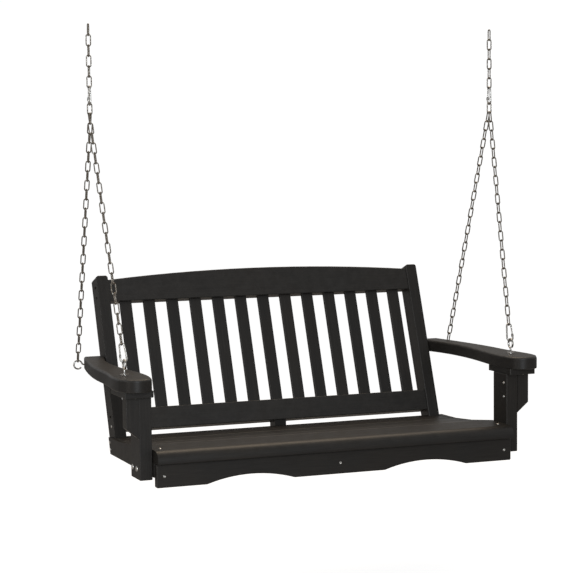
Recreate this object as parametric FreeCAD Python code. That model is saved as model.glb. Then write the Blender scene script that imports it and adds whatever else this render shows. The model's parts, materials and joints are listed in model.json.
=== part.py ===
import FreeCAD, Part
import math
import os
from FreeCAD import Vector

# Porch swing: a slatted bench of thick plastic lumber, hung on chains.
#
# Bench frame used while modelling, in millimetres:
#   X across the bench, zero at its middle
#   Y towards the back, zero at the front faces of the front posts
#   Z up, zero at the feet of the front posts
# Every part is moved at the end, so that the origin is midway between the two
# points where the chains hang from the ceiling hooks.

# ---- lumber ----------------------------------------------------------------
THICK = 38.0            # thick boards: posts, rails, arms, centre support
THIN = 19.0             # thin boards: apron, arm plates, seat cleats
SIDE_RAIL = 16.0        # side boards of the seat
SEAT_BOARD = 22.0       # the three rear seat boards
EASE = 2.5              # rounding of sawn edges
GAP = 1.5               # gap between a seat board's end and a front post

# ---- front posts, corbels and arm plates -----------------------------------
CLEAR_WIDTH = 1143.0    # between the inner faces of the front posts
POST_HEIGHT = 242.0
POST_DEPTH = 89.0
CORBEL_WIDTH = 38.0
CORBEL_DEPTH = 38.0
CORBEL_STRAIGHT = 89.5  # height of the corbel's upright outer face
CORBEL_SLOPE = 32.0     # height of its sloping foot
PLATE_FRONT = 24.0      # the arm plate's reach in front of the post
PLATE_LENGTH = 146.0
PLATE_CORNER = 3.0      # rounding of its corners, seen from above
PLATE_WIDTH = 86.0

# ---- seat ------------------------------------------------------------------
RAIL_BOTTOM = 8.5       # underside of the side boards, cleats and centre support
FRONT_BOARD_TOP = 88.0
FRONT_BOARD_NOSE = 52.0     # reach in front of the posts
FRONT_BOARD_ROUND = 0.79 * THICK    # rounding of the nose
BOARD_GAP = 4.0
FRONT_BOARD_BACK = 92.0
FRONT_SCREW_Y = 8.0     # the front board's two screws driven from above
SEAT_REAR = 39.0        # the seat's rear edge, behind the feet of the back posts
BREAK_SHARES = (0.402, 0.712, 1.0)  # where the rear boards meet, along their run
BREAK_Z = (69.0, 60.0, 58.3)        # height of the seat there

# ---- apron -----------------------------------------------------------------
APRON_SHORT = 2.0       # each end stops this short of a post's inner face
APRON_TOP = 48.0
APRON_BOTTOM = -19.5
APRON_FRONT = 31.5      # front face, in front of the posts
ARCH_SPAN = 271.0
ARCH_RISE = 21.0
ARCH_CENTRE = 281.0     # distance of each arch from the middle
ARCH_EASE = 12.0        # radius that softens the ends of the arches

# ---- back ------------------------------------------------------------------
RAKE = 20.3             # lean of the back from upright, degrees
BACK_FOOT = 421.0       # Y of the back posts' front faces at Z = 0
BACK_POST_DEPTH = 63.0
BACK_POST_PROUD = 13.5  # height above the ends of the top rail
BACK_POST_CORNER = 8.0  # rounding of its top corners, seen from in front
RAIL_INSET = 4.5        # rails set back from the posts' front faces
TOP_RAIL_FOOT = 500.5   # along the slope
TOP_RAIL_END = 70.5     # height of the top rail at its ends
TOP_RAIL_ARCH = 23.0    # extra height at its middle
BOTTOM_RAIL_FOOT = 85.3
BOTTOM_RAIL_HEIGHT = 67.3
SLAT_COUNT = 13
SLAT_WIDTH = 38.0
SLAT_THICK = 12.7
SLAT_END_GAP = 34.75    # between the last slat and the back post
MORTISE = 10.0          # how far a slat enters each rail
MORTISE_CLEARANCE = 0.3

# ---- arms ------------------------------------------------------------------
ARM_TOP_ROUND = 7.0
ARM_FOOT_ROUND = 3.0
ARM_CORNER = 5.0        # rounding of the bow's two corners, seen from above
ARM_PAST_POST = 57.5    # reach behind the back posts' front faces
ARM_NOSE = 57.0         # reach in front of the posts
ARM_REAR_WIDTH = 56.0
ARM_WAIST = 100.0       # outer edge at mid length, from the back post
ARM_FRONT_WIDTH = 118.0     # outer edge near the front, from the back post
ARM_HOLLOW = 30.0       # how far the inner edge curves away from the seat

# ---- chain -----------------------------------------------------------------
CHAIN_WIRE = 3.8
CHAIN_PITCH = 30.4      # inside length of a link
CHAIN_ROOM = 1.8        # inside width of a link, beyond two thicknesses of wire
CONTACT = 0.06          # gap left between touching links
UPPER_LINKS = 6         # links above the snap link, the top one included
HANG_OUT = 48.5         # hanging points, outside the front posts
JUNCTION_HEIGHT = 1047.0    # where the two lower runs of a side meet
RUN_GAP = 1.0           # between the wires of the two lower runs, where they meet
RUN_SLACK = 0.35        # room for the lower runs to lean in the junction link

# ---- snap links, eye bolts and screw eyes ----------------------------------
SNAP_WIRE = 5.5
SNAP_LENGTH = 60.0      # outside
SNAP_WIDE = 10.0        # radius of the wide end, to the wire's middle
SNAP_NARROW = 7.5       # radius of the narrow end, to the wire's middle
GATE_WIRE = 4.4
GATE_PIN = 1.8
PIN_CLEARANCE = 0.05
EYE_WIRE = 6.0
EYE_RADIUS = 14.0       # to the wire's middle
EYE_LIFT = 12.0         # ring above the arm
EYE_OUT = 17.5          # outside the front post's outer face
EYE_Y = 79.0
SCREW_EYE_WIRE = 5.0
SCREW_EYE_RADIUS = 13.0
SCREW_EYE_INSET = 32.0  # in front of the arm's rear end
SCREW_EYE_DROP = 2.0    # below the middle of the arm's edge
SCREW_EYE_STANDOFF = 5.5    # between the arm and the ring
SCREW_EYE_DEPTH = 82.0  # shank, through the arm and into the back post
SCREW_EYE_OPENING = 40.0    # degrees of the ring left open
WASHER_RADIUS = 12.5
WASHER_THICK = 1.8
NUT_ACROSS = 11.0
NUT_THICK = 5.5

# ---- screws and bolts ------------------------------------------------------
SCREW_HEAD = 4.6        # radius
SCREW_HEAD_HEIGHT = 2.4
SCREW_SHANK = 2.2       # radius
BOLT_HEAD = 8.0         # radius
BOLT_HEAD_HEIGHT = 4.0
BOLT_SHANK = 3.2        # radius
SCREW_LONG = 55.0
SCREW_SHORT = 40.0

# ---- densities, for finding the balance point, kg per cubic millimetre -----
LUMBER_DENSITY = 1100e-9
STEEL_DENSITY = 7850e-9

ALONG_X = Vector(1, 0, 0)
ALONG_Y = Vector(0, 1, 0)
ALONG_Z = Vector(0, 0, 1)

# ---- places worked out from the sizes above --------------------------------
post_inner = CLEAR_WIDTH / 2
post_outer = post_inner + THICK
back_outer = post_inner - SIDE_RAIL     # the side rails fill the rest
back_inner = back_outer - THICK
rake = math.radians(RAKE)
arm_foot = POST_HEIGHT + THIN
arm_top = arm_foot + THICK
seat_half = post_inner - GAP
rear_seat_half = back_outer - GAP
front_board_foot = FRONT_BOARD_TOP - THICK
apron_back = THIN - APRON_FRONT         # Y of the apron's rear face
hang_x = post_outer + HANG_OUT
back_post_top = TOP_RAIL_FOOT + TOP_RAIL_END + BACK_POST_PROUD      # along the slope
slat_pitch = (back_inner - SLAT_END_GAP - SLAT_WIDTH / 2) / ((SLAT_COUNT - 1) / 2)
seat_rear_y = BACK_FOOT + SEAT_REAR
break_y = [FRONT_BOARD_BACK + share * (seat_rear_y - FRONT_BOARD_BACK)
           for share in BREAK_SHARES]
arm_middle = arm_foot + THICK / 2
arm_rear = BACK_FOOT + arm_middle * math.tan(rake) + ARM_PAST_POST
screw_eye_y = arm_rear - SCREW_EYE_INSET
chain_inner = 2 * CHAIN_WIRE + CHAIN_ROOM
run_offset = (CHAIN_WIRE + RUN_GAP) / 2


# ---- shapes ----------------------------------------------------------------
def block(x, y, z):
    """A box given its low and high X, Y and Z."""
    size = (x[1] - x[0], y[1] - y[0], z[1] - z[0])
    return Part.makeBox(*size, Vector(x[0], y[0], z[0]))


def board(x, y, z, ease=EASE):
    """A box with every edge rounded."""
    solid = block(x, y, z)
    return solid.makeFillet(ease, solid.Edges)


def rounded_wire(corners):
    """A closed outline of straight runs joined by tangent arcs.

    corners is a list of (point, radius).
    """
    edges = []
    leave_points = []
    arrive_points = []
    for index, (point, radius) in enumerate(corners):
        before = corners[index - 1][0]
        after = corners[(index + 1) % len(corners)][0]
        back = (before - point).normalize()
        ahead = (after - point).normalize()
        half = back.getAngle(ahead) / 2
        reach = radius / math.tan(half)
        arrive = point + back * reach
        leave = point + ahead * reach
        arrive_points.append(arrive)
        leave_points.append(leave)
        if radius > 0:
            inward = (back + ahead).normalize()
            middle = point + inward * (radius / math.sin(half) - radius)
            edges.append(Part.Arc(arrive, middle, leave).toShape())
    for index, leave in enumerate(leave_points):
        arrive = arrive_points[(index + 1) % len(corners)]
        if (arrive - leave).Length > 0.001:
            edges.append(Part.LineSegment(leave, arrive).toShape())
    return Part.Wire(Part.__sortEdges__(edges))


def side_profile(corners, x):
    """Extrude an outline of (y, z, radius) corners from x[0] to x[1]."""
    wire = rounded_wire([(Vector(x[0], y, z), radius) for y, z, radius in corners])
    return Part.Face(wire).extrude(Vector(x[1] - x[0], 0, 0))


def edges_along(solid, direction, test):
    """The straight edges of a solid along a direction whose middle passes test."""
    found = []
    for edge in solid.Edges:
        if not isinstance(edge.Curve, Part.Line):
            continue
        if abs(edge.tangentAt(edge.FirstParameter).dot(direction)) < 0.999:
            continue
        if test(edge.CenterOfMass):
            found.append(edge)
    return found


def rim_edges(solid, direction, level):
    """The edges of the flat face that looks along direction at a given level."""
    for face in solid.Faces:
        normal = face.normalAt(0, 0)
        place = face.CenterOfMass.dot(direction)
        if abs(normal.dot(direction)) > 0.999 and abs(place - level) < 0.01:
            return face.Edges
    return []


def mirrored(solid):
    """The same solid on the other side of the bench."""
    return solid.mirror(Vector(0, 0, 0), ALONG_X)


def lean(shape):
    """Move a shape from the back's own upright frame to the raked back."""
    leaned = shape.copy()
    leaned.rotate(Vector(0, 0, 0), ALONG_X, -RAKE)
    leaned.translate(Vector(0, BACK_FOOT, 0))
    return leaned


def back_point(x, depth, slope):
    """A point of the back, given across, into the back and up its slope."""
    y = BACK_FOOT + depth * math.cos(rake) + slope * math.sin(rake)
    z = slope * math.cos(rake) - depth * math.sin(rake)
    return Vector(x, y, z)


def joined(pieces):
    """One solid from overlapping pieces."""
    return pieces[0].multiFuse(pieces[1:]).removeSplitter()


# ---- round bar -------------------------------------------------------------
def rod(start, end, radius):
    """A round rod between two points."""
    return Part.makeCylinder(radius, (end - start).Length, start, end - start)


def bend(centre, radius, wire_radius, from_angle, to_angle):
    """Part of a ring of round wire in the XZ plane, angles from +X towards +Z."""
    ring = Part.makeTorus(radius, wire_radius, Vector(0, 0, 0), ALONG_Z,
                          0, 360, to_angle - from_angle)
    ring.rotate(Vector(0, 0, 0), ALONG_Z, from_angle)
    ring.rotate(Vector(0, 0, 0), ALONG_X, 90)
    ring.translate(centre)
    return ring


def chain_link():
    """One link in the XZ plane, long way up, centred on the origin."""
    radius = (chain_inner + CHAIN_WIRE) / 2
    wire = CHAIN_WIRE / 2
    half = (CHAIN_PITCH + CHAIN_WIRE) / 2 - radius
    top = bend(Vector(0, 0, half), radius, wire, 0, 180)
    foot = bend(Vector(0, 0, -half), radius, wire, 180, 360)
    left = rod(Vector(-radius, 0, -half), Vector(-radius, 0, half), wire)
    right = rod(Vector(radius, 0, -half), Vector(radius, 0, half), wire)
    return joined([top, left, foot, right])


LINK = chain_link()


def aligned(shape, centre, along, quarter_turn):
    """Turn an XZ-plane shape so that its Z axis runs along a direction.

    Its X axis stays as near as it can to the bench's X axis, and a quarter
    turn about the direction sets it crossways instead.
    """
    along = Vector(along).normalize()
    across = (ALONG_X - along * ALONG_X.dot(along)).normalize()
    depth = along.cross(across)
    turn = FreeCAD.Rotation(across, depth, along, "ZXY")
    placed = shape.copy()
    if quarter_turn:
        placed.rotate(Vector(0, 0, 0), ALONG_Z, 90)
    placed.Placement = FreeCAD.Placement(centre, turn).multiply(placed.Placement)
    return placed


def chain_run(start, start_radius, end, end_radius):
    """Links from one wire to another, the first and last set crossways.

    start and end are points on the middles of the two wires. The links share
    the length evenly, and their number is odd, so both ends lie the same way.
    """
    along = (end - start).normalize()
    length = (end - start).Length
    shared = length - CHAIN_PITCH + start_radius + end_radius
    count = math.ceil(shared / (CHAIN_PITCH - CONTACT)) + 1
    if count % 2 == 0:
        count += 1
    step = shared / (count - 1)
    first = start + along * (CHAIN_PITCH / 2 - start_radius)
    links = []
    for index in range(count):
        links.append(aligned(LINK, first + along * (index * step), along, index % 2 == 0))
    print("chain run", round(length, 1), "mm,", count, "links, spacing", round(step, 2))
    return links


# ---- snap links ------------------------------------------------------------
snap_reach = SNAP_LENGTH - SNAP_WIRE        # between the wire's two far middles
snap_drop = snap_reach - SNAP_WIDE - SNAP_NARROW
snap_angle = math.asin((SNAP_WIDE - SNAP_NARROW) / snap_drop)
side_up = Vector(-math.sin(snap_angle), 0, math.cos(snap_angle))
side_out = Vector(math.cos(snap_angle), 0, math.sin(snap_angle))
wide_centre = Vector(0, 0, SNAP_WIDE)
narrow_centre = Vector(0, 0, snap_reach - SNAP_NARROW)
side_foot = wide_centre + side_out * SNAP_WIDE
side_head = narrow_centre + side_out * SNAP_NARROW
gate_pivot = side_foot + side_up * 4.0
gate_nose = side_head - side_up * 3.0


def flipped(point):
    """A point on the other side of a snap link."""
    return Vector(-point.x, point.y, point.z)


def snap_body():
    """A snap link without its gate, wide end down, its foot at the origin."""
    wire = SNAP_WIRE / 2
    tilt = math.degrees(snap_angle)
    wide_end = bend(wide_centre, SNAP_WIDE, wire, 180 - tilt, 360 + tilt)
    narrow_end = bend(narrow_centre, SNAP_NARROW, wire, tilt, 180 - tilt)
    spine = rod(flipped(side_foot), flipped(side_head), wire)
    stub = rod(side_foot, gate_pivot, wire)
    knuckle = Part.makeSphere(wire, gate_pivot)
    nose = rod(gate_nose, side_head, wire)
    body = joined([wide_end, spine, narrow_end, stub, knuckle, nose])
    hole_start = gate_pivot - ALONG_Y * SNAP_WIRE
    hole_end = gate_pivot + ALONG_Y * SNAP_WIRE
    return body.cut(rod(hole_start, hole_end, GATE_PIN / 2 + PIN_CLEARANCE))


def snap_gate():
    """The gate: a rod with a fork that straddles the knuckle, and its pin."""
    cheek_thick = 1.0
    cheek_gap = SNAP_WIRE / 2 + 0.3
    fork_start = SNAP_WIRE / 2 + 0.5
    fork_end = fork_start + 4.0
    tip_gap = 0.5
    rod_end = (gate_nose - gate_pivot).Length - tip_gap
    half_width = GATE_WIRE / 2
    outer = cheek_gap + cheek_thick
    pieces = [rod(Vector(0, 0, fork_start + 1), Vector(0, 0, rod_end), half_width)]
    pieces.append(block((-half_width, half_width), (-outer, outer), (fork_start, fork_end)))
    for side in (-1, 1):
        inner_face = side * cheek_gap
        outer_face = side * outer
        low = min(inner_face, outer_face)
        high = max(inner_face, outer_face)
        pieces.append(block((-half_width, half_width), (low, high), (0, fork_end)))
        ear_foot = Vector(0, low, 0)
        pieces.append(Part.makeCylinder(half_width, high - low, ear_foot, ALONG_Y))
    head_reach = outer + 0.4
    pieces.append(rod(Vector(0, -head_reach, 0), Vector(0, head_reach, 0), GATE_PIN / 2))
    gate = joined(pieces)
    gate.rotate(Vector(0, 0, 0), ALONG_Y, -math.degrees(snap_angle))
    gate.translate(gate_pivot)
    return gate


SNAP = snap_body()
GATE = snap_gate()


# ---- screws, bolts, nuts ---------------------------------------------------
def headed_pin(head_point, direction, head_radius, head_height, shank_radius, length):
    """A domed head standing on head_point and a shank going in along direction."""
    direction = Vector(direction).normalize()
    dome_radius = (head_radius ** 2 + head_height ** 2) / (2 * head_height)
    dome_centre = head_point - direction * (head_height - dome_radius)
    ball = Part.makeSphere(dome_radius, dome_centre)
    cap = rod(head_point, head_point - direction * (2 * head_height), head_radius * 1.5)
    shank = rod(head_point - direction * (head_height / 4), head_point + direction * length,
                shank_radius)
    return joined([ball.common(cap), shank])


def screw(head_point, direction, length):
    """A pan-head wood screw."""
    return headed_pin(head_point, direction, SCREW_HEAD, SCREW_HEAD_HEIGHT,
                      SCREW_SHANK, length)


def hex_nut(face_point, direction, bore_radius):
    """A hexagonal nut standing on face_point, away along direction."""
    direction = Vector(direction).normalize()
    side = NUT_ACROSS / math.sqrt(3)
    first = direction.cross(ALONG_Y if abs(direction.dot(ALONG_Y)) < 0.5 else ALONG_X)
    second = direction.cross(first)
    corners = []
    for index in range(6):
        angle = math.radians(60 * index)
        corners.append(face_point + first * (side * math.cos(angle))
                       + second * (side * math.sin(angle)))
    corners.append(corners[0])
    solid = Part.Face(Part.makePolygon(corners)).extrude(direction * NUT_THICK)
    hole = rod(face_point - direction, face_point + direction * (NUT_THICK + 1), bore_radius)
    return solid.cut(hole)


def both_sides(solids):
    """A list of solids together with their mirror images."""
    return solids + [mirrored(solid) for solid in solids]


# ---- seat frame ------------------------------------------------------------
front_post = board((post_inner, post_outer), (0, POST_DEPTH), (0, POST_HEIGHT))

corbel_outer = post_outer + CORBEL_WIDTH
corbel_foot = POST_HEIGHT - CORBEL_STRAIGHT - CORBEL_SLOPE
corbel_corners = [
    (Vector(post_outer, 0, POST_HEIGHT), 0),
    (Vector(corbel_outer, 0, POST_HEIGHT), 0),
    (Vector(corbel_outer, 0, POST_HEIGHT - CORBEL_STRAIGHT), EASE),
    (Vector(post_outer, 0, corbel_foot), 0),
]
corbel = Part.Face(rounded_wire(corbel_corners)).extrude(ALONG_Y * CORBEL_DEPTH)
corbel = corbel.makeFillet(EASE, edges_along(corbel, ALONG_Z, lambda p: p.x > post_outer + 1))

plate_right = post_inner + PLATE_WIDTH
plate_corners = [
    (Vector(post_inner, -PLATE_FRONT, POST_HEIGHT), PLATE_CORNER),
    (Vector(plate_right, -PLATE_FRONT, POST_HEIGHT), PLATE_CORNER),
    (Vector(plate_right, PLATE_LENGTH - PLATE_FRONT, POST_HEIGHT), PLATE_CORNER),
    (Vector(post_inner, PLATE_LENGTH - PLATE_FRONT, POST_HEIGHT), PLATE_CORNER),
]
arm_plate = Part.Face(rounded_wire(plate_corners)).extrude(ALONG_Z * THIN)
arm_plate = arm_plate.makeFillet(2.0, rim_edges(arm_plate, ALONG_Z, POST_HEIGHT))


# ---- seat boards and their supports ----------------------------------------
# The three rear boards lie on straight stretches that meet at the break
# points, so each support's top is a chain of straight stretches as well. A
# side board covers their ends, and a cleat inside it carries them.
stretch_starts = [(FRONT_BOARD_BACK, FRONT_BOARD_TOP)] + list(zip(break_y, BREAK_Z))[:-1]
stretch_ends = list(zip(break_y, BREAK_Z))


def stretch_angle(start, end):
    """Slope of a stretch of the seat, in radians, falling towards the back."""
    return math.atan2(start[1] - end[1], end[0] - start[0])


def under_line(start, end, y):
    """Height of a seat board's underside at y."""
    angle = stretch_angle(start, end)
    return start[1] - (y - start[0]) * math.tan(angle) - SEAT_BOARD / math.cos(angle)


def seat_board(start, end, y_gap_front, y_gap_back):
    """A flat board along one stretch of the seat."""
    angle = stretch_angle(start, end)
    length = math.hypot(end[0] - start[0], end[1] - start[1])
    solid = board((-rear_seat_half, rear_seat_half), (y_gap_front, length - y_gap_back),
                  (-SEAT_BOARD, 0))
    solid.rotate(Vector(0, 0, 0), ALONG_X, -math.degrees(angle))
    solid.translate(Vector(0, start[0], start[1]))
    return solid


front_board = side_profile([
    (-FRONT_BOARD_NOSE, front_board_foot, 4),
    (FRONT_BOARD_BACK, front_board_foot, EASE),
    (FRONT_BOARD_BACK, FRONT_BOARD_TOP, EASE),
    (-FRONT_BOARD_NOSE, FRONT_BOARD_TOP, FRONT_BOARD_ROUND),
], (-seat_half, seat_half))
half_gap = BOARD_GAP / 2
rear_boards = []
for index, (start, end) in enumerate(zip(stretch_starts, stretch_ends)):
    front_gap = BOARD_GAP if index == 0 else half_gap
    back_gap = 0 if index == len(stretch_ends) - 1 else half_gap
    rear_boards.append(seat_board(start, end, front_gap, back_gap))


def support_top():
    """Corners of a support's top, from the front board's back to the rear."""
    corners = [(FRONT_BOARD_BACK + half_gap, front_board_foot, 0)]
    first_height = under_line(stretch_starts[0], stretch_ends[0], FRONT_BOARD_BACK + half_gap)
    corners.append((FRONT_BOARD_BACK + half_gap, first_height, 0))
    for index in range(len(stretch_ends) - 1):
        here = (stretch_starts[index], stretch_ends[index])
        following = (stretch_starts[index + 1], stretch_ends[index + 1])
        slope_here = math.tan(stretch_angle(*here))
        slope_following = math.tan(stretch_angle(*following))
        y = stretch_ends[index][0]
        height_here = under_line(*here, y)
        height_following = under_line(*following, y)
        meet = y + (height_here - height_following) / (slope_here - slope_following)
        corners.append((meet, under_line(*here, meet), 0))
    return corners


last_stretch = (stretch_starts[-1], stretch_ends[-1])
side_rail_foot_y = seat_rear_y - (BREAK_Z[-1] - RAIL_BOTTOM) * math.tan(rake)
side_rail_start = FRONT_BOARD_BACK + half_gap
seat_slope = (FRONT_BOARD_TOP - BREAK_Z[0]) / (break_y[0] - FRONT_BOARD_BACK)
side_rail_corners = [
    (side_rail_foot_y, RAIL_BOTTOM, EASE),
    (apron_back, RAIL_BOTTOM, EASE),
    (apron_back, front_board_foot, 0),
    (side_rail_start, front_board_foot, 0),
    (side_rail_start, FRONT_BOARD_TOP - half_gap * seat_slope, 0),
] + [(y, z, 0) for y, z in zip(break_y, BREAK_Z)]
side_rail = side_profile(side_rail_corners, (back_outer, post_inner))

cleat_end = BACK_FOOT - 2.0
cleat_corners = [
    (cleat_end, RAIL_BOTTOM, EASE),
    (apron_back, RAIL_BOTTOM, EASE),
    (apron_back, front_board_foot, 0),
] + support_top() + [(cleat_end, under_line(*last_stretch, cleat_end), 0)]
seat_cleat = side_profile(cleat_corners, (back_outer - THIN, back_outer))

rail_under = back_point(0, RAIL_INSET, BOTTOM_RAIL_FOOT)
rail_under_slope = math.tan(rake)
centre_end = rail_under.y + THICK * math.cos(rake) + 18.0


def rail_underside(y):
    """Height of the bottom rail's underside at y."""
    return rail_under.z - (y - rail_under.y) * rail_under_slope


centre_step_y = seat_rear_y + 3.0
rail_under_end = rail_under.y + THICK * math.cos(rake)
centre_corners = [
    (centre_end, RAIL_BOTTOM, EASE),
    (apron_back, RAIL_BOTTOM, EASE),
    (apron_back, front_board_foot, 0),
] + support_top() + [
    (centre_step_y, under_line(*last_stretch, centre_step_y), 0),
    (centre_step_y, rail_underside(centre_step_y), 0),
    (rail_under_end, rail_underside(rail_under_end), 0),
    (centre_end, rail_underside(rail_under_end), 0),
]
centre_support = side_profile(centre_corners, (-THICK / 2, THICK / 2))

# ---- apron -----------------------------------------------------------------
apron_half = post_inner - APRON_SHORT


def apron_outline():
    """The apron's front outline, its bottom edge cut into two arches."""
    def at(x, z):
        return Vector(x, -APRON_FRONT, z)

    edges = []
    left = -apron_half
    for centre in (-ARCH_CENTRE, ARCH_CENTRE):
        start = centre - ARCH_SPAN / 2
        end = centre + ARCH_SPAN / 2
        edges.append(Part.LineSegment(at(left, APRON_BOTTOM), at(start, APRON_BOTTOM)).toShape())
        crown = at(centre, APRON_BOTTOM + ARCH_RISE)
        arc = Part.Arc(at(start, APRON_BOTTOM), crown, at(end, APRON_BOTTOM))
        edges.append(arc.toShape())
        left = end
    right_foot = at(apron_half, APRON_BOTTOM)
    right_top = at(apron_half, APRON_TOP)
    left_top = at(-apron_half, APRON_TOP)
    edges.append(Part.LineSegment(at(left, APRON_BOTTOM), right_foot).toShape())
    edges.append(Part.LineSegment(right_foot, right_top).toShape())
    edges.append(Part.LineSegment(right_top, left_top).toShape())
    edges.append(Part.LineSegment(left_top, at(-apron_half, APRON_BOTTOM)).toShape())
    return Part.Wire(edges)


apron = Part.Face(apron_outline()).extrude(ALONG_Y * THIN)
arch_corners = edges_along(apron, ALONG_Y, lambda p: abs(p.x) < apron_half - 1)
apron = apron.makeFillet(ARCH_EASE, arch_corners)
end_corners = edges_along(apron, ALONG_Y, lambda p: abs(p.x) > apron_half - 1)
apron = apron.makeFillet(4.0, end_corners)
apron = apron.makeFillet(EASE, rim_edges(apron, ALONG_Y, -APRON_FRONT))

# ---- back, in its own upright frame: X, depth into the back, slope ---------
post_blank = block((back_inner, back_outer), (0, BACK_POST_DEPTH), (-40, back_post_top))
top_corners = edges_along(post_blank, ALONG_Y, lambda p: p.z > 0)
post_blank = post_blank.makeFillet(BACK_POST_CORNER, top_corners)
post_rims = rim_edges(post_blank, ALONG_Y, 0) + rim_edges(post_blank, ALONG_Y, BACK_POST_DEPTH)
post_blank = post_blank.makeFillet(3.0, post_rims)
below_feet = block((-post_outer, post_outer), (-500, 1500), (-500, 0))
back_post = lean(post_blank).cut(below_feet)

slat_depth = (RAIL_INSET + (THICK - SLAT_THICK) / 2, RAIL_INSET + (THICK + SLAT_THICK) / 2)
slat_x = [(index - (SLAT_COUNT - 1) / 2) * slat_pitch for index in range(SLAT_COUNT)]
bottom_rail_head = BOTTOM_RAIL_FOOT + BOTTOM_RAIL_HEIGHT


def slat_blank(x, clearance):
    """A back slat, made larger by a clearance for cutting its mortises."""
    half = SLAT_WIDTH / 2 + clearance
    return block((x - half, x + half),
                 (slat_depth[0] - clearance, slat_depth[1] + clearance),
                 (bottom_rail_head - MORTISE, TOP_RAIL_FOOT + MORTISE))


def back_slat(x):
    """A back slat with its four long edges rounded."""
    blank = slat_blank(x, 0)
    return lean(blank.makeFillet(EASE, edges_along(blank, ALONG_Z, lambda p: True)))


def top_rail_blank():
    """The top rail's arched board with its front and back rims rounded."""
    def at(x, slope):
        return Vector(x, RAIL_INSET, slope)

    left_foot = at(-back_inner, TOP_RAIL_FOOT)
    right_foot = at(back_inner, TOP_RAIL_FOOT)
    right_head = at(back_inner, TOP_RAIL_FOOT + TOP_RAIL_END)
    left_head = at(-back_inner, TOP_RAIL_FOOT + TOP_RAIL_END)
    crown = at(0, TOP_RAIL_FOOT + TOP_RAIL_END + TOP_RAIL_ARCH)
    edges = [
        Part.LineSegment(left_foot, right_foot).toShape(),
        Part.LineSegment(right_foot, right_head).toShape(),
        Part.Arc(right_head, crown, left_head).toShape(),
        Part.LineSegment(left_head, left_foot).toShape(),
    ]
    solid = Part.Face(Part.Wire(edges)).extrude(ALONG_Y * THICK)
    long_rims = []
    for level in (RAIL_INSET, RAIL_INSET + THICK):
        rim = rim_edges(solid, ALONG_Y, level)
        long_rims += [edge for edge in rim if edge.Length > back_inner]
    return solid.makeFillet(EASE, long_rims)


def bottom_rail_blank():
    """The straight bottom rail with its long edges rounded."""
    solid = block((-back_inner, back_inner), (RAIL_INSET, RAIL_INSET + THICK),
                  (BOTTOM_RAIL_FOOT, bottom_rail_head))
    return solid.makeFillet(EASE, edges_along(solid, ALONG_X, lambda p: True))


mortises = [slat_blank(x, MORTISE_CLEARANCE) for x in slat_x]
top_rail = lean(top_rail_blank().cut(mortises))
bottom_rail = lean(bottom_rail_blank().cut(mortises))
back_slats = [back_slat(x) for x in slat_x]

# The rear seat board is notched round the two back posts.
notch_clearance = 1.0
notch_front = back_point(0, 0, (BREAK_Z[-1] - 2 * SEAT_BOARD) / math.cos(rake)).y
for side in (-1, 1):
    low = min(side * back_inner, side * back_outer) - notch_clearance
    high = max(side * back_inner, side * back_outer) + notch_clearance
    notch = block((low, high), (notch_front, seat_rear_y + 50), (0, FRONT_BOARD_TOP))
    rear_boards[-1] = rear_boards[-1].cut(notch)


# ---- arms ------------------------------------------------------------------
def arm_outline():
    """The right arm's plan: two long gentle curves and a bowed front."""
    def at(across, y):
        return Vector(back_outer + across, y, arm_foot)

    post_front = back_point(0, 0, arm_top / math.cos(rake)).y
    seat_line = post_front + 8.0        # the inner edge lies on the post behind this
    outer = [
        at(ARM_REAR_WIDTH, arm_rear),
        at((ARM_REAR_WIDTH + ARM_WAIST) / 2 + 6.0, arm_rear * 0.74),
        at(ARM_WAIST + 3.0, arm_rear * 0.45),
        at(ARM_WAIST + 9.0, arm_rear * 0.21),
        at(ARM_FRONT_WIDTH, arm_rear * 0.06),
        at(ARM_FRONT_WIDTH - 3.0, -ARM_NOSE * 0.15),
    ]
    front = [
        at(ARM_FRONT_WIDTH - 12.0, -ARM_NOSE * 0.46),
        at(ARM_FRONT_WIDTH * 0.575, -ARM_NOSE),
        at(SIDE_RAIL + 5.0, -ARM_NOSE * 0.42),
    ]
    inner = [
        at(SIDE_RAIL + 1.0, -ARM_NOSE * 0.1),
        at(SIDE_RAIL - 5.0, arm_rear * 0.13),
        at(ARM_HOLLOW * 0.72, arm_rear * 0.33),
        at(ARM_HOLLOW, arm_rear * 0.58),
        at(ARM_HOLLOW * 0.55, arm_rear * 0.82),
        at(0, seat_line),
    ]
    outer_curve = Part.BSplineCurve()
    outer_curve.interpolate(outer)
    inner_curve = Part.BSplineCurve()
    inner_curve.interpolate(inner)
    front_outer = Part.LineSegment(outer[-1], front[0]).toShape()
    bow = Part.Arc(front[0], front[1], front[2]).toShape()
    front_inner = Part.LineSegment(front[2], inner[0]).toShape()
    on_post = Part.LineSegment(inner[-1], at(0, arm_rear)).toShape()
    rear = Part.LineSegment(at(0, arm_rear), outer[0]).toShape()
    edges = [outer_curve.toShape(), front_outer, bow, front_inner,
             inner_curve.toShape(), on_post, rear]
    return Part.Wire(edges)


arm = Part.Face(arm_outline()).extrude(ALONG_Z * THICK)
front_corners = edges_along(arm, ALONG_Z, lambda p: p.y < 0)
arm = arm.makeFillet(ARM_CORNER, front_corners)
rear_corners = edges_along(arm, ALONG_Z,
                           lambda p: p.y > arm_rear - 1 and p.x > back_outer + 1)
arm = arm.makeFillet(6.0, rear_corners)
arm_top_rim = [edge for edge in rim_edges(arm, ALONG_Z, arm_top)
               if edge.CenterOfMass.x > back_outer + 0.5]
arm = arm.makeFillet(ARM_TOP_ROUND, arm_top_rim)
arm_foot_rim = [edge for edge in rim_edges(arm, ALONG_Z, arm_foot)
                if edge.CenterOfMass.x > back_outer + 0.5]
arm = arm.makeFillet(ARM_FOOT_ROUND, arm_foot_rim)


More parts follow.
